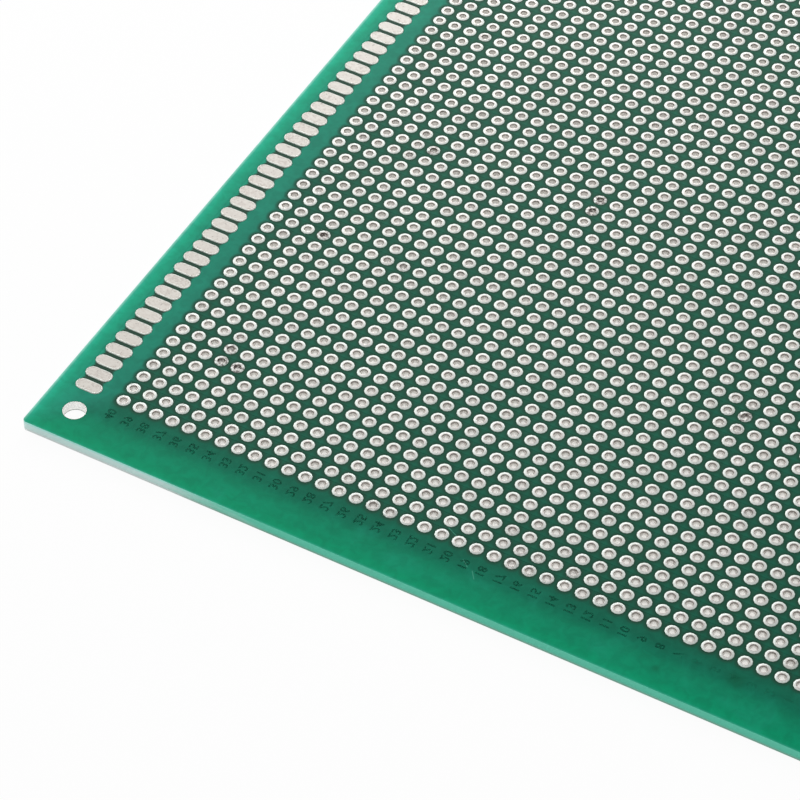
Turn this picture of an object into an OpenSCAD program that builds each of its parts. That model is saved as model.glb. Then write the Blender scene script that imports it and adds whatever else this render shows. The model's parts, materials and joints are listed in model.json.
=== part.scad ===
/* [Board] */
// Columns of plated holes, counted along the numbered front edge
columns = 40; // [6:1:40]
// Rows of plated holes, counted along the side edges
rows = 48; // [6:1:48]
// Distance between the centres of neighbouring holes
pitch = 2.54; // [2.4:0.01:5.08]
// Bare border from the outer columns' centres to the left and right edges
side_border = 9.86; // [9.2:0.02:20]
// Bare border from the outer rows' centres to the front and back edges
end_border = 9.72; // [8:0.02:20]
// Thickness of the glass laminate with its green coat
board_t = 1.6; // [0.6:0.1:3.2]
// Radius of the board's four corners
corner_r = 0.6; // [0.2:0.1:2.5]
// Thickness of the green mask film on each face
mask_t = 0.02; // [0.01:0.005:0.04]
// Bare laminate left round the pads in the mask's long windows
mask_gap = 0.1; // [0.04:0.01:0.12]

/* [Plated holes] */
// Diameter of the round land on each face
land_d = 1.95; // [1.5:0.05:2.1]
// Diameter of the finished bore that takes a lead
bore_d = 1.1; // [0.6:0.05:1.2]
// Wall of the plated barrel that joins the two lands
barrel_wall = 0.05; // [0.03:0.01:0.12]
// Thickness of a tinned land, from the bare laminate up
land_t = 0.07; // [0.05:0.01:0.08]

/* [Oval edge pads] */
// Length of an oval pad, across the edge that it lies on
oval_l = 4; // [3:0.1:5]
// Width of an oval pad, along the edge
oval_w = 1.95; // [1:0.05:2.1]
// Distance from the outer column's centre to the middle of the oval pads
oval_offset = 5.44; // [4.6:0.02:6]
// Thickness of an oval pad, from the bare laminate up
oval_t = 0.08; // [0.08:0.01:0.14]

/* [Mounting holes] */
// Diameter of the four corner holes
mount_d = 3.2; // [2:0.1:4]
// Distance of a corner hole's centre from the corner pad's centre, along both edges
mount_offset = 4.74; // [4.4:0.02:5.4]

/* [Hidden] */
$fn = 32;
land_r = land_d/2;
bore_r = bore_d/2;
barrel_r = bore_r + barrel_wall;
grid_l = (columns - 1)*pitch;
grid_w = (rows - 1)*pitch;
board_l = grid_l + 2*side_border;
board_w = grid_w + 2*end_border;
bare_under_z = oval_t;
bare_top_z = bare_under_z + board_t - 2*mask_t;
under_z = bare_under_z - mask_t;
top_z = bare_top_z + mask_t;
oval_x = grid_l/2 + oval_offset;
window_cut_h = 1;
row_names = [for (j = [1:rows]) str("pad_row_", j < 10 ? "0" : "", j)];

function column_x(i) = i*pitch - grid_l/2;
function row_y(j) = j*pitch - grid_w/2;

// Rounded rectangle with true arcs at its corners
module board_outline() {
  square([board_l - 2*corner_r, board_w], center = true);
  square([board_l, board_w - 2*corner_r], center = true);
  for (sx = [-1, 1], sy = [-1, 1])
    translate([sx*(board_l/2 - corner_r), sy*(board_w/2 - corner_r)])
      circle(r = corner_r);
}

module mounting_holes() {
  for (sx = [-1, 1], sy = [-1, 1])
    translate([sx*(grid_l/2 + mount_offset), sy*(grid_w/2 + mount_offset)])
      circle(d = mount_d);
}

// The coated sheet before its windows are opened and its grid is drilled
module coated_sheet() {
  translate([0, 0, under_z])
    linear_extrude(height = board_t)
      difference() {
        board_outline();
        mounting_holes();
      }
}

// The mask's windows on one face: one along each row, and one along each column of oval pads
module mask_windows(z) {
  window_l = grid_l + land_d + 2*mask_gap;
  for (j = [0:rows - 1])
    translate([-window_l/2, row_y(j) - land_r - mask_gap, z])
      cube([window_l, land_d + 2*mask_gap, window_cut_h]);
  for (side = [-1, 1])
    translate([side*oval_x - oval_l/2 - mask_gap, -grid_w/2 - oval_w/2 - mask_gap, z])
      cube([oval_l + 2*mask_gap, grid_w + oval_w + 2*mask_gap, window_cut_h]);
}

// The drilled grid, one hole for each barrel
module drilled_grid() {
  for (j = [0:rows - 1], i = [0:columns - 1])
    translate([column_x(i), row_y(j), 0]) cylinder(r = barrel_r, h = top_z + oval_t);
}

// One sheet of glass laminate with its mask, opened round the pads and drilled
module laminate() {
  color([0.13, 0.52, 0.40])
    difference() {
      difference() {
        coated_sheet();
        mask_windows(bare_top_z);
        mask_windows(bare_under_z - window_cut_h);
      }
      drilled_grid();
    }
}

// One plated hole, turned: a barrel through the laminate with a land on each face
module plated_hole() {
  rotate_extrude()
    polygon([
      [bore_r, bare_under_z - land_t],
      [land_r, bare_under_z - land_t],
      [land_r, bare_under_z],
      [barrel_r, bare_under_z],
      [barrel_r, bare_top_z],
      [land_r, bare_top_z],
      [land_r, bare_top_z + land_t],
      [bore_r, bare_top_z + land_t]
    ]);
}

module pad_row(j) {
  color([0.86, 0.86, 0.84])
    for (i = [0:columns - 1])
      translate([column_x(i), row_y(j), 0]) plated_hole();
}

// An oval pad is a strip with round ends, lying across its edge
module oval_pad() {
  linear_extrude(height = oval_t) {
    square([oval_l - oval_w, oval_w], center = true);
    for (s = [-1, 1]) translate([s*(oval_l - oval_w)/2, 0]) circle(d = oval_w);
  }
}

// One oval pad for each row, beside one edge (-1 left, 1 right) and from height z up
module oval_pads(side, z) {
  color([0.90, 0.86, 0.82])
    for (j = [0:rows - 1])
      translate([side*oval_x, row_y(j), z]) oval_pad();
}

laminate();
oval_pads(-1, bare_top_z);  // oval_pads_left_top
oval_pads(-1, 0);  // oval_pads_left_under
oval_pads(1, bare_top_z);  // oval_pads_right_top
oval_pads(1, 0);  // oval_pads_right_under
for (j = [0:rows - 1])
  pad_row(j);
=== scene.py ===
"""A green prototype board: its mask, tinned pads, column numbers, camera and light.

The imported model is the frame. Every size is read from it, or is named once in millimetres.
"""

import json
import logging
from dataclasses import dataclass
from enum import Enum
from math import hypot, radians
from typing import Any, Iterable, Protocol, Sequence

import bpy
import numpy as np
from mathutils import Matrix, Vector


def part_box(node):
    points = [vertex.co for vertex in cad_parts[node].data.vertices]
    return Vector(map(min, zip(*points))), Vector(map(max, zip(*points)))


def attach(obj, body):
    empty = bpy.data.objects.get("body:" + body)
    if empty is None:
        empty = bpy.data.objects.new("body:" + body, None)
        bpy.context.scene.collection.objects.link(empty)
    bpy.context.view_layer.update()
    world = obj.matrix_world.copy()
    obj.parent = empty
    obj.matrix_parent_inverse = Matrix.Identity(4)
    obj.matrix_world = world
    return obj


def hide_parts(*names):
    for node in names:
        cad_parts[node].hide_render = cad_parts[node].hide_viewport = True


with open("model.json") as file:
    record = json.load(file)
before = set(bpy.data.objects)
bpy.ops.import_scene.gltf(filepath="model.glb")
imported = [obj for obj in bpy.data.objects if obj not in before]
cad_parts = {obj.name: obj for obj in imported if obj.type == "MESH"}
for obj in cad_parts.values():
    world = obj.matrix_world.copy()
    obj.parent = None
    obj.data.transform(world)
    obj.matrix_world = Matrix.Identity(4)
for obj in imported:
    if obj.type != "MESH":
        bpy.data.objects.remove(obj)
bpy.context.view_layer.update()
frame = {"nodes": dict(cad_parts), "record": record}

log = logging.getLogger("prototype_board")
MM = 0.001
STAIN_MARK = "stain"
Colour = tuple[float, float, float, float]
Stops = Sequence[tuple[float, Colour]]
WHITE: Colour = (1.0, 1.0, 1.0, 1.0)


def tone(red: int, green: int, blue: int) -> Colour:
    """Turn a display colour into the linear one that shaders use.

    Args:
        red: Red from 0 to 255.
        green: Green from 0 to 255.
        blue: Blue from 0 to 255.

    Returns:
        The linear colour with full opacity.
    """
    shown = np.array([red, green, blue]) / 255
    linear = np.where(shown <= 0.04045, shown / 12.92, ((shown + 0.055) / 1.055) ** 2.4)
    return (*(float(channel) for channel in linear), 1.0)


class Face(Enum):
    """The two faces of the board."""

    TOP = 1
    UNDER = -1


class Edge(Enum):
    """The two edges that carry oval pads."""

    LEFT = -1
    RIGHT = 1


@dataclass(frozen=True)
class BoardPlan:
    """The board's sizes in millimetres, with its centre at x = y = 0."""

    pitch: float
    columns: int
    rows: int
    length: float
    width: float
    under_z: float
    top_z: float
    bare_under_z: float
    bare_top_z: float
    land_radius: float
    land_under_z: float
    land_top_z: float
    bore_radius: float
    oval_length: float
    oval_width: float
    oval_x: float
    oval_under_z: float
    oval_top_z: float
    mount_x: float
    mount_y: float
    mount_radius: float
    barrel_wall: float = 0.05
    corner_radius: float = 0.6

    @classmethod
    def from_frame(cls) -> "BoardPlan":
        """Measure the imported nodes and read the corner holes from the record.

        Returns:
            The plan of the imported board.
        """
        sheet = cls.corners("laminate")
        first, second = cls.corners("pad_row_01"), cls.corners("pad_row_02")
        top, under = cls.corners("oval_pads_left_top"), cls.corners("oval_pads_left_under")
        pitch = float(second[0][1] - first[0][1])
        rows = sum(name.startswith("pad_row_") for name in frame["nodes"])
        land_width = float(first[1][1] - first[0][1])
        columns = round((float(first[1][0] - first[0][0]) - land_width) / pitch) + 1
        mounts = {mount["name"]: mount["dims"] for mount in frame["record"]["mounts"]}
        holes = mounts["corner_holes"]
        return cls(
            pitch=pitch,
            columns=columns,
            rows=rows,
            length=float(sheet[1][0] - sheet[0][0]),
            width=float(sheet[1][1] - sheet[0][1]),
            under_z=float(sheet[0][2]),
            top_z=float(sheet[1][2]),
            bare_under_z=float(under[1][2]),
            bare_top_z=float(top[0][2]),
            land_radius=land_width / 2,
            land_under_z=float(first[0][2]),
            land_top_z=float(first[1][2]),
            bore_radius=cls.bore("pad_row_01", first, land_width),
            oval_length=float(top[1][0] - top[0][0]),
            oval_width=float(top[1][1] - top[0][1]) - (rows - 1) * pitch,
            oval_x=-float(top[0][0] + top[1][0]) / 2,
            oval_under_z=float(under[0][2]),
            oval_top_z=float(top[1][2]),
            mount_x=holes["spacing_x_mm"] / 2,
            mount_y=holes["spacing_y_mm"] / 2,
            mount_radius=holes["hole_r_mm"],
        )

    @staticmethod
    def corners(node: str) -> np.ndarray:
        """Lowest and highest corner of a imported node, in millimetres."""
        return np.array(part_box(node)) / MM

    @staticmethod
    def bore(node: str, box: np.ndarray, land_width: float) -> float:
        """Measure the bore of the first plated hole of a row.

        Args:
            node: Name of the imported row.
            box: The row's corners in millimetres.
            land_width: Diameter of its round lands.

        Returns:
            The smallest distance of a vertex from the first hole's axis.
        """
        mesh = frame["nodes"][node].data
        places = np.empty(len(mesh.vertices) * 3, np.float32)
        mesh.vertices.foreach_get("co", places)
        flat = places.reshape(-1, 3)[:, :2] / MM
        axis = box[0][:2] + land_width / 2
        return float(np.hypot(*(flat - axis).T).min())

    @property
    def column_x(self) -> np.ndarray:
        """Centres of the columns along X."""
        return (np.arange(self.columns) - (self.columns - 1) / 2) * self.pitch

    @property
    def row_y(self) -> np.ndarray:
        """Centres of the rows along Y."""
        return (np.arange(self.rows) - (self.rows - 1) / 2) * self.pitch


@dataclass(frozen=True)
class Span:
    """A range, from the value that gives none of something to the one that gives all."""

    none: float
    full: float

    def beyond(self, start: float) -> "Span":
        """Move the range on by a start."""
        return Span(start + self.none, start + self.full)

    def times(self, size: float) -> "Span":
        """Stretch the range by a size."""
        return Span(size * self.none, size * self.full)


@dataclass(frozen=True)
class Grain:
    """Smooth random patches, by how many of them lie in a millimetre.

    Detail adds finer layers, distortion bends the patches, and stretch brings them
    closer together along an axis.
    """

    per_mm: float
    detail: float = 2.0
    distortion: float = 0.0
    stretch: tuple[float, float, float] = (1.0, 1.0, 1.0)


@dataclass(frozen=True)
class Signal:
    """A value in a material, which ordinary arithmetic turns into nodes."""

    graph: "NodeGraph"
    socket: bpy.types.NodeSocket

    def __add__(self, other: "Signal | float") -> "Signal":
        """Sum of the two."""
        return self.graph.math("ADD", self, other)

    def __sub__(self, other: "Signal | float") -> "Signal":
        """This less the other."""
        return self.graph.math("SUBTRACT", self, other)

    def __rsub__(self, other: float) -> "Signal":
        """The other less this."""
        return self.graph.math("SUBTRACT", other, self)

    def __mul__(self, other: "Signal | float") -> "Signal":
        """Product of the two."""
        return self.graph.math("MULTIPLY", self, other)

    def __abs__(self) -> "Signal":
        """Size without its sign."""
        return self.graph.math("ABSOLUTE", self)

    def at_most(self, other: "Signal | float") -> "Signal":
        """Lesser of the two."""
        return self.graph.math("MINIMUM", self, other)

    def at_least(self, other: "Signal | float") -> "Signal":
        """Greater of the two."""
        return self.graph.math("MAXIMUM", self, other)

    def beside(self, other: "Signal") -> "Signal":
        """Length of the straight line whose two legs these are."""
        return self.graph.math("SQRT", self * self + other * other)

    def rising(self, span: Span) -> "Signal":
        """Run smoothly from 0 to 1.

        Args:
            span: Value that gives 0 and value that gives 1, in either order of size.

        Returns:
            The smoothed share.
        """
        inputs = {"Value": self, "From Min": span.none, "From Max": span.full}
        return self.graph.signal(
            "ShaderNodeMapRange", inputs, "Result", interpolation_type="SMOOTHSTEP"
        )


class NodeGraph:
    """A new material and the short calls that build its nodes.

    The mix numbers are those of the colour sockets on a node that mixes several kinds.
    """

    MIX_FIRST = 6
    MIX_SECOND = 7
    MIX_RESULT = 2

    def __init__(self, name: str) -> None:
        """Start an empty material.

        Args:
            name: Name of the finish.
        """
        self.material = bpy.data.materials.new(name)
        self.material.use_nodes = True
        self.tree = self.material.node_tree
        self.tree.nodes.clear()

    def node(self, kind: str, **settings: Any) -> bpy.types.Node:
        """Add a node.

        Args:
            kind: Name of its type.
            **settings: Values of its own properties.

        Returns:
            The new node.
        """
        node = self.tree.nodes.new(kind)
        for name, value in settings.items():
            setattr(node, name, value)
        return node

    def feed(self, value: "Signal | float | Colour", socket: bpy.types.NodeSocket) -> None:
        """Link a signal to a socket, or set a plain value on it.

        Args:
            value: What the socket gets.
            socket: The socket.
        """
        if isinstance(value, Signal):
            self.tree.links.new(value.socket, socket)
        else:
            socket.default_value = value

    def signal(
        self,
        kind: str,
        inputs: dict[str | int, "Signal | float | Sequence[float]"],
        output: str | int = 0,
        **settings: Any,
    ) -> Signal:
        """Add a node and feed its inputs.

        Args:
            kind: Name of its type.
            inputs: What each input gets, by the input's name or number.
            output: Name or number of the output that is read.
            **settings: Values of its own properties.

        Returns:
            The output.
        """
        node = self.node(kind, **settings)
        for name, value in inputs.items():
            self.feed(value, node.inputs[name])
        return Signal(self, node.outputs[output])

    def math(self, operation: str, *values: "Signal | float") -> Signal:
        """Apply one arithmetic operation to its values."""
        return self.signal("ShaderNodeMath", dict(enumerate(values)), operation=operation)

    def object_place(self) -> Signal:
        """Give the point's place on its object, in metres."""
        return self.signal("ShaderNodeTexCoord", {}, "Object")

    def place(self) -> tuple[Signal, Signal, Signal]:
        """Find the shaded point on its object.

        Returns:
            The point's x, y and z in millimetres.
        """
        split = self.node("ShaderNodeSeparateXYZ")
        self.feed(self.object_place(), split.inputs[0])
        return tuple(Signal(self, split.outputs[axis]) * (1 / MM) for axis in "XYZ")

    def noise(self, grain: Grain) -> Signal:
        """Make smooth random patches.

        Args:
            grain: Their size and shape.

        Returns:
            A value that keeps near one half.
        """
        scale = [share * grain.per_mm / MM for share in grain.stretch]
        place = self.signal("ShaderNodeMapping", {"Vector": self.object_place(), "Scale": scale})
        inputs = {
            "Vector": place,
            "Scale": 1.0,
            "Detail": grain.detail,
            "Distortion": grain.distortion,
        }
        return self.signal("ShaderNodeTexNoise", inputs, "Fac")

    def chance(self, *values: Signal) -> Signal:
        """Draw one random share for each set of up to three whole numbers."""
        seed = {"Vector": self.signal("ShaderNodeCombineXYZ", dict(enumerate(values)))}
        return self.signal("ShaderNodeTexWhiteNoise", seed, "Value", noise_dimensions="3D")

    def attribute(self, name: str) -> Signal:
        """Read a number that is kept on the mesh."""
        return self.signal("ShaderNodeAttribute", {}, "Fac", attribute_name=name)

    def mix(self, share: Signal, first: "Signal | Colour", second: "Signal | Colour") -> Signal:
        """Mix two colours, with a share of 1 for the second alone."""
        inputs = {"Factor": share, self.MIX_FIRST: first, self.MIX_SECOND: second}
        return self.signal("ShaderNodeMix", inputs, self.MIX_RESULT, data_type="RGBA")

    def shade(self, colour: Signal, strength: Signal) -> Signal:
        """Make a colour lighter or darker by a factor."""
        inputs = {0: colour, "Scale": strength}
        return self.signal("ShaderNodeVectorMath", inputs, operation="SCALE")

    def ramp(self, share: Signal, stops: Stops) -> Signal:
        """Run through a row of colours.

        Args:
            share: Where to look, from 0 to 1.
            stops: Place and colour of each stop, in order.

        Returns:
            The colour there.
        """
        node = self.node("ShaderNodeValToRGB")
        elements = node.color_ramp.elements
        elements.remove(elements[0])
        for number, (where, colour) in enumerate(stops):
            element = elements[0] if number == 0 else elements.new(where)
            element.position = where
            element.color = colour
        self.feed(share, node.inputs[0])
        return Signal(self, node.outputs[0])

    def bump(self, height: Signal, depth: float) -> Signal:
        """Turn a height into relief of a depth in millimetres."""
        return self.signal("ShaderNodeBump", {"Distance": depth * MM, "Height": height})

    def surface(self, shader: Signal) -> bpy.types.Material:
        """Give the material its shader, and hand it over."""
        self.feed(shader, self.node("ShaderNodeOutputMaterial").inputs["Surface"])
        return self.material

    def finish(self, colour: "Signal | Colour", **values: Any) -> bpy.types.Material:
        """Dress the material in one shader.

        Args:
            colour: Its colour.
            **values: The shader's other sockets, with spaces as underscores.

        Returns:
            The finished material.
        """
        inputs = {"Base Color": colour}
        inputs.update({name.replace("_", " "): value for name, value in values.items()})
        return self.surface(self.signal("ShaderNodeBsdfPrincipled", inputs))


@dataclass(frozen=True)
class GridPattern:
    """Where a point lies in the board's pattern of pads, as signals of one material."""

    graph: NodeGraph
    plan: BoardPlan
    column: Signal
    row: Signal
    from_hole: Signal
    from_oval: Signal
    past_oval: Signal
    from_edge: Signal
    from_side: Signal
    from_end: Signal
    from_mount: Signal
    x: Signal
    y: Signal
    height: Signal

    @classmethod
    def on(cls, graph: NodeGraph, plan: BoardPlan) -> "GridPattern":
        """Measure a point against the plan.

        Args:
            graph: The material's graph.
            plan: The board's sizes.

        Returns:
            The point's nearest column and row; its distances from the hole's axis,
            from the oval's spine, past the spine's end, and from the board's outline,
            side edge, end edge and corner hole's axis; and its own place.
        """
        x, y, z = graph.place()
        column, aside = cls.nearest(graph, x, plan.pitch, plan.columns)
        row, along = cls.nearest(graph, y, plan.pitch, plan.rows)
        spine = (plan.oval_length - plan.oval_width) / 2
        past_spine = (abs(abs(x) - plan.oval_x) - spine).at_least(0.0)
        inset_x = abs(x) - (plan.length / 2 - plan.corner_radius)
        inset_y = abs(y) - (plan.width / 2 - plan.corner_radius)
        outside = inset_x.at_least(0.0).beside(inset_y.at_least(0.0))
        inside = inset_x.at_least(inset_y).at_most(0.0)
        return cls(
            graph=graph,
            plan=plan,
            column=column,
            row=row,
            from_hole=aside.beside(along),
            from_oval=past_spine.beside(along),
            past_oval=past_spine,
            from_edge=plan.corner_radius - (outside + inside),
            from_side=plan.length / 2 - abs(x),
            from_end=plan.width / 2 - abs(y),
            from_mount=(abs(x) - plan.mount_x).beside(abs(y) - plan.mount_y),
            x=x,
            y=y,
            height=z,
        )

    @staticmethod
    def nearest(
        graph: NodeGraph, along: Signal, pitch: float, count: int
    ) -> tuple[Signal, Signal]:
        """Find the nearest of evenly spaced centres.

        Args:
            graph: The material's graph.
            along: Distance from the board's middle.
            pitch: Distance between centres.
            count: How many centres there are.

        Returns:
            The centre's number from 0, and the distance past it.
        """
        steps = along * (1 / pitch) + (count - 1) / 2
        number = graph.math("ROUND", steps).at_least(0.0).at_most(float(count - 1))
        return number, (steps - number) * pitch


@dataclass(frozen=True)
class MaskFinish:
    """Thin green mask over translucent glass laminate, with painted glow that makes it paler
    towards its cut edges and painted shade over the field of pads.

    Distances are in millimetres. A cover is the share of a colour that lies over the
    colours below it, and a shade is how much a pattern lightens them. The spans round
    pads and holes begin at their outline, and those of heights at the nearer face. A
    scuff is two points, and a smudge a point and a radius.
    """

    reach: float = 12.0
    # Painted glow and shade: paler near the end edges, where light comes through, darker among
    # the pads.
    green_and_glow_past_end: Stops = (
        (0.0, tone(50, 164, 134)),
        (0.3, tone(4, 149, 108)),
        (0.9, tone(0, 146, 103)),
        (1.6, tone(2, 141, 101)),
        (3.0, tone(6, 137, 100)),
        (4.4, tone(8, 128, 94)),
        (5.6, tone(8, 114, 86)),
        (6.6, tone(12, 106, 81)),
        (8.2, tone(18, 101, 78)),
        (10.0, tone(26, 95, 74)),
    )
    # Painted glow and shade along the side edges, paler than along the ends.
    green_and_glow_past_side: Stops = (
        (0.0, tone(150, 216, 200)),
        (0.4, tone(44, 173, 142)),
        (0.9, tone(28, 166, 131)),
        (1.4, tone(26, 156, 122)),
        (2.2, tone(28, 146, 116)),
        (4.5, tone(30, 134, 109)),
        (8.4, tone(30, 127, 104)),
        (9.6, tone(30, 109, 90)),
        (10.6, tone(26, 95, 74)),
    )
    nearer_side: Span = Span(-3.0, 3.0)
    patches: Grain = Grain(0.16, detail=4.0, distortion=0.6)
    patch_shade: float = 0.22
    mottle: Grain = Grain(0.7, detail=4.0, distortion=0.8)
    mottle_span: Span = Span(0.3, 0.7)
    mottle_shade: float = 0.15
    fine: Grain = Grain(1.6, detail=3.0)
    fine_shade: float = 0.08
    least_shade: float = 0.775
    cloudy: Colour = tone(28, 144, 116)
    cloudy_patches: Span = Span(0.5, 0.75)
    cloudy_cover: float = 0.3
    margin_pitches: Span = Span(0.7, 1.0)
    # Painted shade that the lands cast in the translucent laminate.
    land_shade: Colour = tone(34, 70, 54)
    land_shade_span: Span = Span(0.72, 0.05)
    land_shade_cover: float = 0.85
    # Painted shade in the gaps between the ovals.
    oval_shade: Colour = tone(40, 68, 54)
    oval_shade_span: Span = Span(0.42, 0.26)
    between_ovals: Span = Span(0.9, 0.3)
    within_rows: Span = Span(-0.3, 0.3)
    pad_line: Colour = tone(24, 60, 44)
    pad_line_span: Span = Span(0.08, 0.0)
    pad_line_cover: float = 0.6
    edge_rim: Colour = tone(190, 250, 240)
    edge_body: Colour = tone(222, 252, 247)
    edge_foot: Colour = tone(240, 250, 248)
    edge_green: Colour = tone(114, 224, 194)
    edge_green_foot: Colour = tone(148, 204, 184)
    edge_rim_heights: Span = Span(-0.45, -0.2)
    edge_foot_heights: Span = Span(0.5, 0.2)
    streaks: Grain = Grain(0.25, stretch=(1.0, 1.0, 6.0))
    streak_length: float = 0.12
    greener_along: Span = Span(-0.30, -0.12)
    hole_rim: Colour = tone(20, 104, 78)
    hole_rim_span: Span = Span(0.2, 0.05)
    hole_rim_cover: float = 0.7
    hole_wall: Colour = tone(255, 255, 252)
    # Painted shadow at the foot of the corner holes' walls, where the board meets the floor.
    hole_foot_shadow: Colour = tone(150, 158, 150)
    hole_foot_heights: Span = Span(0.16, 0.06)
    upper_half: Span = Span(0.8, 1.0)
    scuff: Colour = tone(92, 176, 152)
    scuff_span: Span = Span(0.1, 0.0)
    scuff_cover: float = 0.5
    scuffs: tuple[tuple[float, float, float, float], ...] = (
        (-1.0, -58.3, 0.5, -59.0),
        (3.2, -62.2, 4.2, -63.0),
        (5.1, -63.3, 5.9, -64.4),
        (-20.0, -28.0, -18.4, -28.8),
    )
    smudge: Colour = tone(8, 84, 54)
    smudge_cover: float = 0.4
    smudges: tuple[tuple[float, float, float], ...] = (
        (42.2, -63.0, 2.0),
        (32.6, -66.2, 0.9),
        (-42.4, -52.0, 2.4),
    )
    skin: Span = Span(0.02, 0.0)
    wall_gloss: float = 0.5
    shine: float = 0.04
    roughness: float = 0.34
    fine_roughness: float = 0.12
    relief: float = 0.01

    def build(self, plan: BoardPlan) -> bpy.types.Material:
        """Make the laminate's material.

        Args:
            plan: The board's sizes.

        Returns:
            The finished material.
        """
        graph = NodeGraph("green_mask")
        spot = GridPattern.on(graph, plan)
        fine = graph.noise(self.fine)
        colour = self.mottled_green_and_glow(spot, fine)
        for layer in (self.outline_and_shade_pads, self.scratch_top, self.open_mounts, self.bare_sides):
            colour = layer(spot, colour)
        return graph.finish(
            colour,
            Metallic=self.on_wall(spot) * self.wall_gloss,
            Roughness=fine * self.fine_roughness + self.roughness,
            Specular_IOR_Level=self.shine,
            Normal=graph.bump(fine, self.relief),
        )

    def shares(self, by_distance: Stops) -> list[tuple[float, Colour]]:
        """Turn distances in millimetres into shares of the reach."""
        return [(distance / self.reach, colour) for distance, colour in by_distance]

    def mottled_green_and_glow(self, spot: GridPattern, fine: Signal) -> Signal:
        """Blend the greens of the nearer edge, with their painted glow and shade, and mottle
        them.

        Args:
            spot: Where the point lies.
            fine: The finest of the patterns.

        Returns:
            The colour of the mask, with its painted glow and shade.
        """
        graph = spot.graph
        # Painted glow near the edges and painted shade among the pads, by distance from the
        # edges.
        end = graph.ramp(spot.from_end * (1 / self.reach), self.shares(self.green_and_glow_past_end))
        side = graph.ramp(spot.from_side * (1 / self.reach), self.shares(self.green_and_glow_past_side))
        nearer = (spot.from_end - spot.from_side).rising(self.nearer_side)
        colour = graph.mix(nearer, end, side)
        patches = graph.noise(self.patches)
        mottle = graph.noise(self.mottle).rising(self.mottle_span)
        margin = spot.from_hole.rising(self.margin_pitches.times(spot.plan.pitch))
        clouds = patches.rising(self.cloudy_patches) * margin
        colour = graph.mix(clouds * self.cloudy_cover, colour, self.cloudy)
        shade = patches * self.patch_shade + mottle * self.mottle_shade + fine * self.fine_shade
        return graph.shade(colour, shade + self.least_shade)

    def outline_and_shade_pads(self, spot: GridPattern, colour: Signal) -> Signal:
        """Lay painted shade on the mask round each land and oval, and a thin dark line at its
        rim.

        Args:
            spot: Where the point lies.
            colour: The colour so far.

        Returns:
            The darkened colour.
        """
        graph, plan = spot.graph, spot.plan
        land, end = plan.land_radius, plan.oval_width / 2
        # Painted shade round each land, then between the ovals.
        shade = spot.from_hole.rising(self.land_shade_span.beyond(land))
        colour = graph.mix(shade * self.land_shade_cover, colour, self.land_shade)
        last_row = plan.width / 2 - float(plan.row_y[-1])
        between = spot.past_oval.rising(self.between_ovals.times(end))
        between = between * spot.from_end.rising(self.within_rows.beyond(last_row))
        shade = spot.from_oval.rising(self.oval_shade_span.beyond(end))
        colour = graph.mix(shade * between, colour, self.oval_shade)
        round_land = spot.from_hole.rising(self.pad_line_span.beyond(land))
        round_oval = spot.from_oval.rising(self.pad_line_span.beyond(end))
        line = round_land.at_least(round_oval) * self.pad_line_cover
        return graph.mix(line, colour, self.pad_line)

    def scratch_top(self, spot: GridPattern, colour: Signal) -> Signal:
        """Draw the scuffs, lines between two points, and the round soft smudges on top.

        Args:
            spot: Where the point lies.
            colour: The colour so far.

        Returns:
            The marked colour.
        """
        graph, x, y = spot.graph, spot.x, spot.y
        upper = spot.height.rising(self.upper_half)
        for start_x, start_y, end_x, end_y in self.scuffs:
            length = hypot(end_x - start_x, end_y - start_y)
            ahead_x, ahead_y = (end_x - start_x) / length, (end_y - start_y) / length
            along = (x - start_x) * ahead_x + (y - start_y) * ahead_y
            aside = (y - start_y) * ahead_x - (x - start_x) * ahead_y
            past = (along - length).at_least(along * -1.0).at_least(0.0)
            near = past.beside(aside).rising(self.scuff_span)
            colour = graph.mix(near * upper * self.scuff_cover, colour, self.scuff)
        for centre_x, centre_y, radius in self.smudges:
            near = (x - centre_x).beside(y - centre_y).rising(Span(radius, 0.0))
            colour = graph.mix(near * upper * self.smudge_cover, colour, self.smudge)
        return colour

    def open_mounts(self, spot: GridPattern, colour: Signal) -> Signal:
        """Darken the rim of the corner holes, bare their pale walls and paint shadow at their
        foot.

        Args:
            spot: Where the point lies.
            colour: The colour so far.

        Returns:
            The colour with the corner holes.
        """
        graph, plan = spot.graph, spot.plan
        rim = spot.from_mount.rising(self.hole_rim_span.beyond(plan.mount_radius))
        colour = graph.mix(rim * self.hole_rim_cover, colour, self.hole_rim)
        # Painted shadow near the foot of the wall.
        foot = spot.height.rising(self.hole_foot_heights.beyond(plan.under_z))
        wall = graph.mix(foot, self.hole_wall, self.hole_foot_shadow)
        return graph.mix(self.on_wall(spot), colour, wall)

    def on_wall(self, spot: GridPattern) -> Signal:
        """Give 1 on the walls of the corner holes and 0 elsewhere."""
        return spot.from_mount.rising(self.skin.beyond(spot.plan.mount_radius))

    def bare_sides(self, spot: GridPattern, colour: Signal) -> Signal:
        """Show the cut laminate on the side faces, pale at the left and greener right.

        Args:
            spot: Where the point lies.
            colour: The colour so far.

        Returns:
            The colour with the side faces.
        """
        graph, plan = spot.graph, spot.plan
        rim = spot.height.rising(self.edge_rim_heights.beyond(plan.top_z))
        foot = spot.height.rising(self.edge_foot_heights.beyond(plan.under_z))
        pale = graph.mix(rim, self.edge_body, self.edge_rim)
        pale = graph.mix(foot, pale, self.edge_foot)
        green = graph.mix(foot, self.edge_green, self.edge_green_foot)
        along = spot.x * (1 / plan.length) + graph.noise(self.streaks) * self.streak_length
        side = graph.mix(along.rising(self.greener_along), pale, green)
        return graph.mix(spot.from_edge.rising(self.skin), colour, side)


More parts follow.
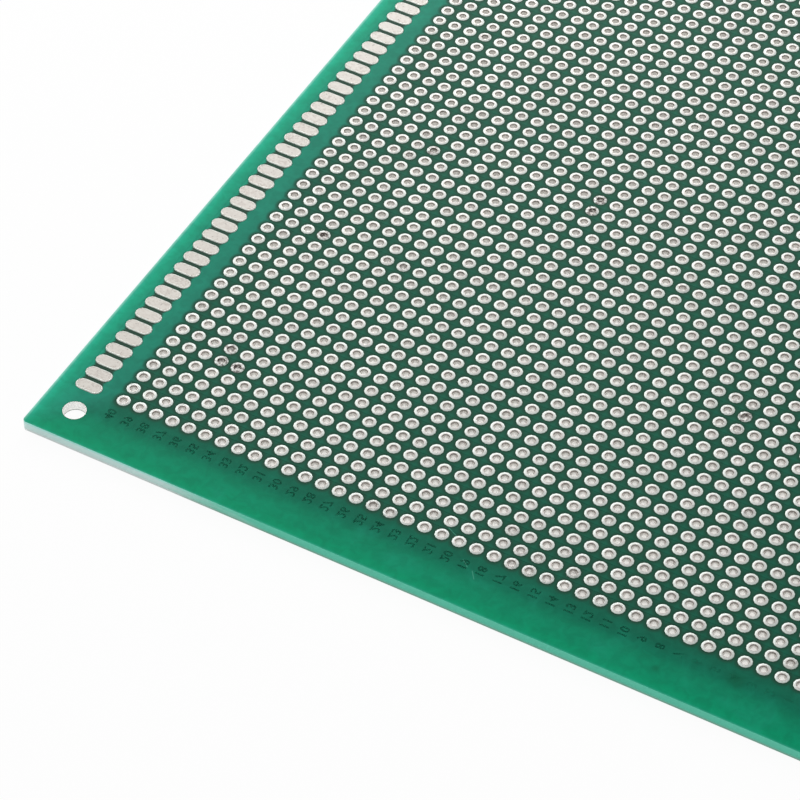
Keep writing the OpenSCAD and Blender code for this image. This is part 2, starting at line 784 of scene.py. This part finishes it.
@dataclass(frozen=True)
class TinFinish:
    """Hot-dipped tin on the round lands and down their bores.

    The rims carry a painted highlight, and the bores painted shade near their lips. The rim's
    span is a distance from the hole's axis, and the bore's depths are measured from the
    nearer face, all in millimetres.
    """

    land: Colour = tone(207, 208, 203)
    blush: Colour = tone(211, 202, 199)
    blush_grain: Span = Span(0.42, 0.66)
    # Painted highlight: the land's rim is paler, as where its dome would catch the light.
    rim: Colour = tone(226, 235, 229)
    rim_span: Span = Span(0.70, 0.80)
    bore: Colour = tone(240, 238, 233)
    # Painted shade near the bore's lips, paler deeper in.
    bore_lip_shade: Colour = tone(152, 147, 142)
    bore_span: Span = Span(0.05, 0.0)
    bore_shade_depths: Span = Span(0.15, 0.45)
    grain: Grain = Grain(2.2, detail=3.0)
    dirt: Grain = Grain(2.4, detail=4.0, distortion=0.5)
    stain: Colour = tone(92, 82, 78)
    stained_dirt: Span = Span(0.42, 0.60)
    stain_cover: float = 0.85
    speck_dirt: Span = Span(0.62, 0.70)
    speckled_pads: Span = Span(0.5, 1.0)
    speck_cover: float = 0.35
    pad_shade: float = 0.10
    grain_shade: float = 0.10
    least_shade: float = 0.88
    land_metal: float = 0.12
    roughness: float = 0.32
    grain_roughness: float = 0.2
    bore_polish: float = 0.16
    relief: float = 0.02

    def build(self, plan: BoardPlan) -> bpy.types.Material:
        """Make the plated holes' material.

        Args:
            plan: The board's sizes.

        Returns:
            The finished material.
        """
        graph = NodeGraph("dipped_tin")
        spot = GridPattern.on(graph, plan)
        pick = graph.chance(spot.column, spot.row)
        grain = graph.noise(self.grain)
        colour = graph.mix(grain.rising(self.blush_grain), self.land, self.blush)
        # Painted highlight on the rim of each land.
        colour = graph.mix(spot.from_hole.rising(self.rim_span), colour, self.rim)
        inside = spot.from_hole.rising(self.bore_span.beyond(plan.bore_radius))
        # Painted shade: the bore's wall darkens towards either face.
        middle = (plan.land_top_z + plan.land_under_z) / 2
        depth = plan.land_top_z - middle - abs(spot.height - middle)
        bore = graph.mix(depth.rising(self.bore_shade_depths), self.bore_lip_shade, self.bore)
        colour = graph.mix(inside, colour, bore)
        dirt = graph.noise(self.dirt)
        specks = dirt.rising(self.speck_dirt) * pick.rising(self.speckled_pads)
        stain = graph.attribute(STAIN_MARK) * dirt.rising(self.stained_dirt)
        dirty = (specks * self.speck_cover).at_least(stain * self.stain_cover)
        colour = graph.mix(dirty, colour, self.stain)
        shade = pick * self.pad_shade + grain * self.grain_shade + self.least_shade
        rough = grain * self.grain_roughness + self.roughness - inside * self.bore_polish
        return graph.finish(
            graph.shade(colour, shade),
            Metallic=inside * (1 - self.land_metal) + self.land_metal,
            Roughness=rough,
            Normal=graph.bump(grain, self.relief),
        )


@dataclass(frozen=True)
class OvalFinish:
    """Flat tin on the oval pads, with a painted highlight on the swell round its outline.

    The rim's span is a distance past the outline in millimetres, so it is below zero.
    """

    middle: Colour = tone(195, 190, 182)
    smudge: Colour = tone(166, 156, 147)
    smudged_grain: Span = Span(0.42, 0.68)
    worn_pads: Span = Span(0.2, 1.0)
    wear_spread: float = 0.6
    least_wear: float = 0.25
    # Painted highlight on the swell round the outline.
    rim: Colour = tone(218, 224, 217)
    rim_span: Span = Span(-0.24, -0.1)
    grain: Grain = Grain(2.6, detail=6.0, distortion=0.3)
    dirt: Grain = Grain(3.2, detail=3.0)
    speck: Colour = tone(110, 96, 92)
    speck_dirt: Span = Span(0.62, 0.70)
    speck_cover: float = 0.55
    grain_shade: float = 0.16
    pad_shade: float = 0.05
    least_shade: float = 0.90
    metal: float = 0.12
    roughness: float = 0.34
    grain_roughness: float = 0.2
    relief: float = 0.02

    def build(self, plan: BoardPlan) -> bpy.types.Material:
        """Make the oval pads' material.

        Args:
            plan: The board's sizes.

        Returns:
            The finished material.
        """
        graph = NodeGraph("flat_tin")
        spot = GridPattern.on(graph, plan)
        grain = graph.noise(self.grain)
        dirt = graph.noise(self.dirt)
        pick = graph.chance(spot.row)
        wear = pick.rising(self.worn_pads) * self.wear_spread + self.least_wear
        worn = grain.rising(self.smudged_grain) * wear
        colour = graph.mix(worn, self.middle, self.smudge)
        # Painted highlight on the swell.
        swell = spot.from_oval.rising(self.rim_span.beyond(plan.oval_width / 2))
        colour = graph.mix(swell, colour, self.rim)
        specks = dirt.rising(self.speck_dirt) * self.speck_cover
        colour = graph.mix(specks, colour, self.speck)
        shade = grain * self.grain_shade + pick * self.pad_shade + self.least_shade
        return graph.finish(
            graph.shade(colour, shade),
            Metallic=self.metal,
            Roughness=grain * self.grain_roughness + self.roughness,
            Normal=graph.bump(grain, self.relief),
        )


@dataclass(frozen=True)
class PrintAndShadowFinish:
    """Ink of the column numbers, and of their painted shadow on top."""

    name: str
    ink: Colour
    cover: float
    shine: float
    roughness: float = 0.55

    def build(self) -> bpy.types.Material:
        """Make the ink's material.

        Returns:
            The finished material.
        """
        return NodeGraph(self.name).finish(
            self.ink,
            Roughness=self.roughness,
            Specular_IOR_Level=self.shine,
            Alpha=self.cover,
        )


def add_piece(
    name: str, points: np.ndarray, faces: Iterable[Sequence[int]], smooth: bool
) -> bpy.types.Object:
    """Put a mesh in the scene, with its place in its points.

    Args:
        name: Name of the piece.
        points: Its vertices in millimetres, one row each.
        faces: Vertex numbers of each face, turned outwards.
        smooth: Whether its faces are shaded as one curved surface.

    Returns:
        The new object, at the origin.
    """
    mesh = bpy.data.meshes.new(name)
    mesh.from_pydata((points * MM).tolist(), [], list(faces))
    mesh.update()
    mesh.polygons.foreach_set("use_smooth", np.full(len(mesh.polygons), smooth))
    piece = bpy.data.objects.new(name, mesh)
    bpy.context.scene.collection.objects.link(piece)
    return piece


def ring_faces(copies: int, rings: int, stations: int, closed: bool) -> np.ndarray:
    """Number the faces of closed rings that follow one another.

    Vertex v = (copy * rings + ring) * stations + station. Each face joins a ring's
    station to the next ring's and the next station's, both counted round.

    Args:
        copies: How many separate bodies there are.
        rings: Rings of each body.
        stations: Vertices of each ring.
        closed: Whether the last ring is joined to the first.

    Returns:
        One row of four vertex numbers a face.
    """
    steps = rings if closed else rings - 1
    copy, ring, station = np.indices((copies, steps, stations))
    after_ring, after_station = (ring + 1) % rings, (station + 1) % stations

    def number(at_ring: np.ndarray, at_station: np.ndarray) -> np.ndarray:
        """Number of the vertex at a ring and a station."""
        return (copy * rings + at_ring) * stations + at_station

    corners = (
        number(ring, station),
        number(after_ring, station),
        number(after_ring, after_station),
        number(ring, after_station),
    )
    return np.stack(corners, axis=-1).reshape(-1, 4)


class Assembly(Protocol):
    """A part of the board that makes its own pieces."""

    def build(self) -> list[bpy.types.Object]:
        """Build and dress the pieces."""


@dataclass
class Laminate:
    """The drilled sheet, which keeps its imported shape."""

    plan: BoardPlan
    finish: MaskFinish = MaskFinish()
    node: str = "laminate"

    def build(self) -> list[bpy.types.Object]:
        """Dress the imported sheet.

        Returns:
            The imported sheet's object.
        """
        sheet = frame["nodes"][self.node]
        sheet.data.materials.clear()
        sheet.data.materials.append(self.finish.build(self.plan))
        return [sheet]


@dataclass
class PlatedHoles:
    """The grid's tinned holes, each a barrel with a softly domed land on both faces.

    They are made in banks of rows, because one piece of them all would have too many
    triangles. Stained and dulled pads are named by column and row from the left and front.
    """

    plan: BoardPlan
    finish: TinFinish = TinFinish()
    banks: int = 4
    segments: int = 12
    crest_inset: float = 0.1
    lip_drop: float = 0.025
    crease: float = 45.0
    stained: tuple[tuple[int, int], ...] = (
        (3, 5), (3, 6), (4, 5), (3, 16), (5, 25), (15, 25), (15, 26), (29, 15),
    )
    dulled: tuple[tuple[int, int], ...] = (
        (29, 14), (28, 14), (28, 15), (28, 16), (29, 16), (8, 16), (7, 16), (22, 22),
        (3, 7), (4, 24), (4, 26), (23, 0), (24, 0), (25, 0), (23, 1), (24, 1), (26, 1),
        (22, 2), (15, 0), (16, 0), (17, 23), (3, 35), (32, 9), (38, 1),
    )
    dulling: float = 0.35

    def section(self) -> np.ndarray:
        """Give a plated hole's closed section, as radius and height.

        It runs from the upper land's foot over its crest into the bore, down the bore,
        over the lower land and back up the outside of the barrel.

        Returns:
            One row of radius and height a point, counterclockwise.
        """
        plan = self.plan
        crest = plan.land_radius - self.crest_inset
        barrel = plan.bore_radius + plan.barrel_wall
        return np.array([
            [plan.land_radius, plan.bare_top_z],
            [crest, plan.land_top_z],
            [plan.bore_radius, plan.land_top_z - self.lip_drop],
            [plan.bore_radius, plan.land_under_z + self.lip_drop],
            [crest, plan.land_under_z],
            [plan.land_radius, plan.bare_under_z],
            [barrel, plan.bare_under_z],
            [barrel, plan.bare_top_z],
        ])

    def bank(self, number: int) -> bpy.types.Object:
        """Turn the section round every hole of one bank of rows.

        A vertex is (x + r cos a, y + r sin a, z), for the hole's centre (x, y), the
        section's radius r and height z, and an angle a that runs once round.

        Args:
            number: The bank's number from 0.

        Returns:
            The bank's piece, which stands for its packed rows.
        """
        plan = self.plan
        rows = np.array_split(np.arange(plan.rows), self.banks)[number]
        x, y = (grid.ravel() for grid in np.meshgrid(plan.column_x, plan.row_y[rows]))
        radius, height = self.section().T
        angle = np.arange(self.segments) * 2 * np.pi / self.segments
        points = np.empty((x.size, self.segments, radius.size, 3))
        points[..., 0] = x[:, None, None] + np.cos(angle)[None, :, None] * radius
        points[..., 1] = y[:, None, None] + np.sin(angle)[None, :, None] * radius
        points[..., 2] = height
        faces = ring_faces(x.size, self.segments, radius.size, True)
        name = f"plated_holes_{number + 1}"
        piece = add_piece(name, points.reshape(-1, 3), faces.tolist(), True)
        self.mark_stains(piece, rows, radius.size * self.segments)
        piece.data.set_sharp_from_angle(angle=radians(self.crease))
        piece.data.materials.append(self.finish.build(plan))
        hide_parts(*(f"pad_row_{row + 1:02d}" for row in rows))
        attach(piece, "root")
        return piece

    def mark_stains(self, piece: bpy.types.Object, rows: np.ndarray, share: int) -> None:
        """Keep on each vertex how far its pad is stained, from 0 to 1.

        Args:
            piece: The bank's piece.
            rows: Numbers of its rows.
            share: How many vertices each hole has.
        """
        column, row = (grid.ravel() for grid in np.meshgrid(np.arange(self.plan.columns), rows))
        marked = np.zeros(column.size, np.float32)
        for pads, strength in ((self.stained, 1.0), (self.dulled, self.dulling)):
            for its_column, its_row in pads:
                marked[(column == its_column) & (row == its_row)] = strength
        kept = piece.data.attributes.new(STAIN_MARK, "FLOAT", "POINT")
        kept.data.foreach_set("value", np.repeat(marked, share))

    def build(self) -> list[bpy.types.Object]:
        """Build every bank.

        Returns:
            The banks' pieces.
        """
        return [self.bank(number) for number in range(self.banks)]


@dataclass
class OvalPads:
    """One column of oval pads beside an edge, on one face."""

    plan: BoardPlan
    edge: Edge
    face: Face
    finish: OvalFinish = OvalFinish()
    turns: int = 7
    crest_inset: float = 0.1
    middle_inset: float = 0.24
    middle_drop: float = 0.01

    def outline(self, inset: float) -> np.ndarray:
        """Give a strip's outline with round ends, set in by a distance.

        The point at angle a is (s + r cos a, r sin a), for a radius r of half the
        width less the inset, and s half the straight length, on the right for the
        half turn from -90 to 90 degrees and on the left for the other.

        Args:
            inset: Distance inside the pad's own outline.

        Returns:
            One row of x and y a point, counterclockwise.
        """
        spine = (self.plan.oval_length - self.plan.oval_width) / 2
        half = np.linspace(-np.pi / 2, np.pi / 2, self.turns)
        angle = np.concatenate([half, half + np.pi])
        shift = np.repeat([spine, -spine], self.turns)
        radius = self.plan.oval_width / 2 - inset
        return np.stack([shift + radius * np.cos(angle), radius * np.sin(angle)], axis=-1)

    def build(self) -> list[bpy.types.Object]:
        """Build the column of pads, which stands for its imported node.

        Each pad is three outlines joined in turn: its seat, its crest, and its flat
        middle, a little below the crest.

        Returns:
            The column's piece.
        """
        plan = self.plan
        outward = self.face.value
        seat = plan.bare_top_z if self.face is Face.TOP else plan.bare_under_z
        crest = plan.oval_top_z if self.face is Face.TOP else plan.oval_under_z
        heights = (seat, crest, crest - outward * self.middle_drop)
        insets = (0.0, self.crest_inset, self.middle_inset)
        stations = self.turns * 2
        rings = np.stack([
            np.column_stack([self.outline(inset), np.full(stations, height)])
            for inset, height in zip(insets, heights)
        ])
        centres = np.column_stack([
            np.full(plan.rows, self.edge.value * plan.oval_x), plan.row_y, np.zeros(plan.rows)
        ])
        points = centres[:, None, None, :] + rings[None]
        faces = self.faces(plan.rows, len(heights), stations)
        side = f"{self.edge.name.lower()}_{self.face.name.lower()}"
        piece = add_piece(f"ovals_{side}", points.reshape(-1, 3), faces, False)
        piece.data.materials.append(self.finish.build(plan))
        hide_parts(f"oval_pads_{side}")
        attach(piece, "root")
        return [piece]

    def faces(self, copies: int, rings: int, stations: int) -> list[list[int]]:
        """Number the faces between the rings, and the flat ones that close them.

        Args:
            copies: How many pads there are.
            rings: Rings of each pad, from its seat to its middle.
            stations: Vertices of each ring.

        Returns:
            Vertex numbers of every face, turned outwards.
        """
        # From the seat to the middle, a face runs the other way round than in a barrel.
        sides = ring_faces(copies, rings, stations, False)[:, [0, 3, 2, 1]]
        first = np.arange(copies)[:, None] * rings * stations
        floors = (first + np.arange(stations))[:, ::-1]
        lids = first + (rings - 1) * stations + np.arange(stations)
        turned = slice(None, None, self.face.value)
        return [list(face[turned]) for group in (sides, floors, lids) for face in group.tolist()]


@dataclass
class ColumnNumbers:
    """Plain numbers of the columns, printed on the underside, with their painted shadow on top.

    The row of numbers lies in front of the first row of holes, and aside moves each
    number away from its column's centre.
    """

    plan: BoardPlan
    digit_height: float = 1.35
    stretch: float = 1.05
    from_row: float = 3.0
    aside: float = -0.23
    thickness: float = 0.012
    boldness: float = 0.022
    printed: PrintAndShadowFinish = PrintAndShadowFinish("white_print", tone(226, 230, 224), 1.0, 0.5)
    # Painted shadow of the underside print, a faint dark sheet just above the top.
    print_shadow: PrintAndShadowFinish = PrintAndShadowFinish("faint_print", tone(8, 82, 44), 0.045, 0.04)

    def glyphs(self, words: str) -> tuple[np.ndarray, list[list[int]]]:
        """Make a number a thin closed mesh, centred on the origin.

        Args:
            words: The digits.

        Returns:
            Its points, one unit high and one unit thick, and its faces.
        """
        curve = bpy.data.curves.new("digits", "FONT")
        curve.body = words
        curve.align_x = "CENTER"
        curve.align_y = "CENTER"
        curve.resolution_u = 2
        curve.extrude = 0.5
        curve.offset = self.boldness
        holder = bpy.data.objects.new("digits", curve)
        mesh = bpy.data.meshes.new_from_object(holder)
        points = np.array([vertex.co for vertex in mesh.vertices])
        faces = [list(face.vertices) for face in mesh.polygons]
        bpy.data.meshes.remove(mesh)
        bpy.data.objects.remove(holder)
        bpy.data.curves.remove(curve)
        low, high = points.min(axis=0), points.max(axis=0)
        height, thickness = (high - low)[1:]
        return (points - (low + high) / 2) / (height, height, thickness), faces

    def sheet(self, name: str, face: Face) -> bpy.types.Object:
        """Lay all numbers on one face, read along the board's sides.

        A point (u, v, w) of a number goes to (x + v h, y + u h n, z + w t), for the
        number's middle (x, y), digit height h, stretch n and ink thickness t, with z at
        half the ink's thickness outside the face and t below zero on the underside.

        Args:
            name: Name of the piece.
            face: The face that carries them, the ink under and the painted shadow on top.

        Returns:
            The piece.
        """
        plan = self.plan
        surface = plan.top_z if face is Face.TOP else plan.under_z
        row_y = plan.row_y[0] - self.from_row
        parts: list[np.ndarray] = []
        faces: list[list[int]] = []
        offset = 0
        for column, x in enumerate(plan.column_x):
            unit, its_faces = self.glyphs(str(plan.columns - column))
            place = np.column_stack([
                x + self.aside + unit[:, 1] * self.digit_height,
                row_y + unit[:, 0] * self.digit_height * self.stretch,
                surface + face.value * self.thickness * (0.5 + unit[:, 2]),
            ])
            parts.append(place)
            faces += [[offset + vertex for vertex in one] for one in its_faces]
            offset += len(place)
        return add_piece(name, np.concatenate(parts), faces, False)

    def build(self) -> list[bpy.types.Object]:
        """Print the numbers underneath, and lay their painted shadow on top.

        Returns:
            The two pieces.
        """
        pieces = []
        for name, face, ink in (
            ("numbers_under", Face.UNDER, self.printed),
            ("numbers_showing", Face.TOP, self.print_shadow),
        ):
            piece = self.sheet(name, face)
            piece.data.materials.append(ink.build())
            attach(piece, "root")
            pieces.append(piece)
        return pieces


@dataclass(frozen=True)
class Lamp:
    """A soft square lamp that faces the board's middle, in metres and watts."""

    name: str
    place: tuple[float, float, float]
    size: float
    watts: float

    def hang(self) -> None:
        """Put the lamp in the scene, with its back turned away from the origin."""
        data = bpy.data.lights.new(self.name, "AREA")
        data.shape = "SQUARE"
        data.size = self.size
        data.energy = self.watts
        lamp = bpy.data.objects.new(self.name, data)
        lamp.location = self.place
        lamp.rotation_euler = lamp.location.to_track_quat("Z", "Y").to_euler()
        bpy.context.scene.collection.objects.link(lamp)


@dataclass
class Studio:
    """White floor, soft light and the camera at the photograph's viewing angle.

    Places and sizes are in metres, and turns in degrees. The lens and sensor are in
    millimetres.
    """

    camera_place: tuple[float, float, float] = (0.136820, -0.330995, 0.350460)
    camera_turn: tuple[float, float, float] = (43.2372, -0.6775, 28.7695)
    lens: float = 161.175
    sensor: float = 36.0
    nearest_shown: float = 0.01
    floor_half: float = 2.0
    floor_z: float = -0.00002
    floor_colour: Colour = (0.85, 0.85, 0.85, 1.0)
    floor_glow: float = 0.95
    air: float = 0.45
    lamps: tuple[Lamp, ...] = (
        Lamp("key", (-0.42, 0.20, 0.36), 0.3, 1.45),
        Lamp("fill", (0.0, -0.80, 0.5), 0.6, 0.75),
        Lamp("back", (-0.20, 0.42, 0.25), 0.25, 1.4),
    )

    def build(self) -> None:
        """Put up the camera, the floor, the lamps and the air's own light."""
        scene = bpy.context.scene
        scene.view_settings.view_transform = "Standard"
        self.set_camera(scene)
        self.lay_floor()
        self.light_air(scene)
        for lamp in self.lamps:
            lamp.hang()

    def set_camera(self, scene: bpy.types.Scene) -> None:
        """Put the camera where the photograph was taken from.

        Args:
            scene: The scene that it looks at.
        """
        data = bpy.data.cameras.new("camera")
        data.lens = self.lens
        data.sensor_width = self.sensor
        data.clip_start = self.nearest_shown
        camera = bpy.data.objects.new("camera", data)
        camera.location = self.camera_place
        camera.rotation_euler = [radians(turn) for turn in self.camera_turn]
        scene.collection.objects.link(camera)
        scene.camera = camera

    def lay_floor(self) -> None:
        """Lay a white floor that shows white and still takes some shadow."""
        half = self.floor_half / MM
        corners = np.array([[-half, -half], [half, -half], [half, half], [-half, half]])
        points = np.column_stack([corners, np.full(4, self.floor_z / MM)])
        floor = add_piece("floor", points, [[0, 1, 2, 3]], False)
        floor.data.materials.append(self.floor_finish())

    def floor_finish(self) -> bpy.types.Material:
        """Make matt white that glows where a ray of the camera or a reflection meets it.

        Returns:
            The finished material.
        """
        graph = NodeGraph("white_floor")
        path = graph.node("ShaderNodeLightPath")
        kinds = ("Is Camera Ray", "Is Glossy Ray", "Is Transmission Ray")
        camera, glossy, through = (Signal(graph, path.outputs[kind]) for kind in kinds)
        seen = camera.at_least(glossy).at_least(through)
        matt = graph.signal("ShaderNodeBsdfDiffuse", {"Color": self.floor_colour})
        glow = graph.signal("ShaderNodeEmission", {})
        inputs = {0: seen * self.floor_glow, 1: matt, 2: glow}
        return graph.surface(graph.signal("ShaderNodeMixShader", inputs))

    def light_air(self, scene: bpy.types.Scene) -> None:
        """Give the surroundings an even light of their own.

        Args:
            scene: The scene that they surround.
        """
        world = bpy.data.worlds.new("air")
        world.use_nodes = True
        background = world.node_tree.nodes["Background"]
        background.inputs["Color"].default_value = WHITE
        background.inputs["Strength"].default_value = self.air
        scene.world = world


def main() -> None:
    """Build and dress the board, then set the studio round it."""
    logging.basicConfig(level=logging.INFO, format="%(name)s: %(message)s")
    plan = BoardPlan.from_frame()
    log.info("plan of %d columns and %d rows", plan.columns, plan.rows)
    assemblies: list[Assembly] = [Laminate(plan), PlatedHoles(plan)]
    assemblies += [OvalPads(plan, edge, face) for edge in Edge for face in Face]
    assemblies += [ColumnNumbers(plan)]
    for assembly in assemblies:
        for piece in assembly.build():
            log.info("%s: %d faces", piece.name, len(piece.data.polygons))
    Studio().build()


if __name__ == "__main__":
    main()
